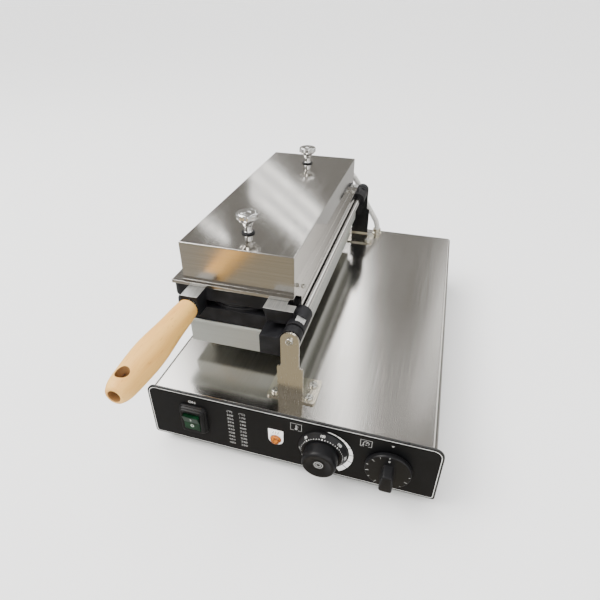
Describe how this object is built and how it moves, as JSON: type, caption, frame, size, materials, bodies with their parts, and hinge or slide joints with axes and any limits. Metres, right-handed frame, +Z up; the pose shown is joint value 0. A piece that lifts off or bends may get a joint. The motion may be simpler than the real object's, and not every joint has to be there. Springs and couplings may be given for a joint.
{
  "type": "coin bread maker",
  "caption": "Countertop cooker with a hinged pair of cast moulds for round coin-shaped breads, on a stainless base with switch, thermostat and timer.",
  "frame": {"origin": "under the middle of the whole object's box, on the surface that the feet stand on", "axes": "+X to the user's right, +Y to the rear along the hinge shaft, +Z up"},
  "size_m": [0.35, 0.618, 0.2783],
  "materials": {
    "brushed_stainless": "brushed, warm grey",
    "pan_stainless": "brushed, duller",
    "bracket_steel": "brushed",
    "panel_black": "satin black",
    "film_black": "satin printed film",
    "coated_casting": "black non-stick coating, bare ground faces",
    "shaft_steel": "polished",
    "zinc_screw": "zinc plated",
    "knob_chrome": "polished",
    "dark_rubber": "matt",
    "beech": "oiled, light",
    "heater_steel": "oxidised",
    "fibre_board": "matt white fibre",
    "white_sleeve": "woven white sleeve",
    "brass_gland": "nickel plated brass",
    "black_plastic": "matt",
    "green_rocker": "translucent green",
    "white_plate": "smooth",
    "orange_lens": "translucent orange",
    "grey_plastic": "matt",
    "copper_wire": "insulated wire"
  },
  "bodies": {
    "base": {"base_housing": "brushed_stainless", "rear_panel": "brushed_stainless", "bottom_tray": "pan_stainless", "front_panel": "panel_black", "panel_overlay": "film_black", "rubber_feet": "dark_rubber", "foot_screws": "zinc_screw", "housing_screws": "zinc_screw", "small_nuts": "zinc_screw", "front_bracket": "bracket_steel", "rear_bracket": "bracket_steel", "bracket_screws": "zinc_screw", "bracket_nuts": "zinc_screw", "hinge_shaft": "shaft_steel", "shaft_end_screws": "zinc_screw", "lower_mould": "coated_casting", "lower_heater": "heater_steel", "lower_heater_clamp": "bracket_steel", "lower_clamp_screws": "zinc_screw", "lower_insulation": "fibre_board", "lower_cover": "pan_stainless", "lower_cover_screws": "zinc_screw", "lower_posts": "zinc_screw", "post_screws": "zinc_screw", "lower_grommet": "dark_rubber", "sensor_bulb": "brass_gland", "heater_conduit": "white_sleeve", "conduit_gland_base": "brass_gland", "switch_body": "black_plastic", "switch_boot": "dark_rubber", "lamp_plate": "white_plate", "lamp_lens": "orange_lens", "lamp_body": "grey_plastic", "thermostat_body": "grey_plastic", "thermostat_dial": "black_plastic", "timer_body": "grey_plastic", "control_screws": "zinc_screw", "cable_gland": "black_plastic", "earth_stud": "brass_gland", "terminal_block": "white_plate", "wiring_harness": "copper_wire"},
    "lid": {"upper_mould": "coated_casting", "upper_heater": "heater_steel", "upper_heater_clamp": "bracket_steel", "upper_clamp_screws": "zinc_screw", "upper_insulation": "fibre_board", "upper_cover": "brushed_stainless", "upper_cover_screws": "zinc_screw", "hood_knobs": "knob_chrome", "hood_knob_washers": "dark_rubber", "hood_studs": "zinc_screw", "wood_handle": "beech", "handle_collar": "zinc_screw", "handle_bolt": "zinc_screw", "conduit_gland_upper": "brass_gland"},
    "rocker": {"switch_rocker": "green_rocker"},
    "thermostat": {"thermostat_knob": "black_plastic", "thermostat_shaft": "zinc_screw"},
    "timer": {"timer_knob": "black_plastic", "timer_shaft": "zinc_screw"}
  },
  "joints": [
    {"name": "lid_hinge", "type": "hinge", "parent": "base", "child": "lid", "pos_m": [0, 0.043, 0.182], "axis": [0, 1, 0], "range_deg": [0, 172.7], "deforming": ["heater_conduit"]},
    {"name": "rocker_tilt", "type": "hinge", "parent": "base", "child": "rocker", "pos_m": [-0.115, -0.2115, 0.0545], "axis": [1, 0, 0], "range_deg": [-16, 0]},
    {"name": "thermostat_turn", "type": "hinge", "parent": "base", "child": "thermostat", "pos_m": [0.046, -0.217, 0.053], "axis": [0, 1, 0], "range_deg": [0, 277]},
    {"name": "timer_turn", "type": "hinge", "parent": "base", "child": "timer", "pos_m": [0.1204, -0.217, 0.0511], "axis": [0, 1, 0], "range_deg": [0, 300]}
  ]
}
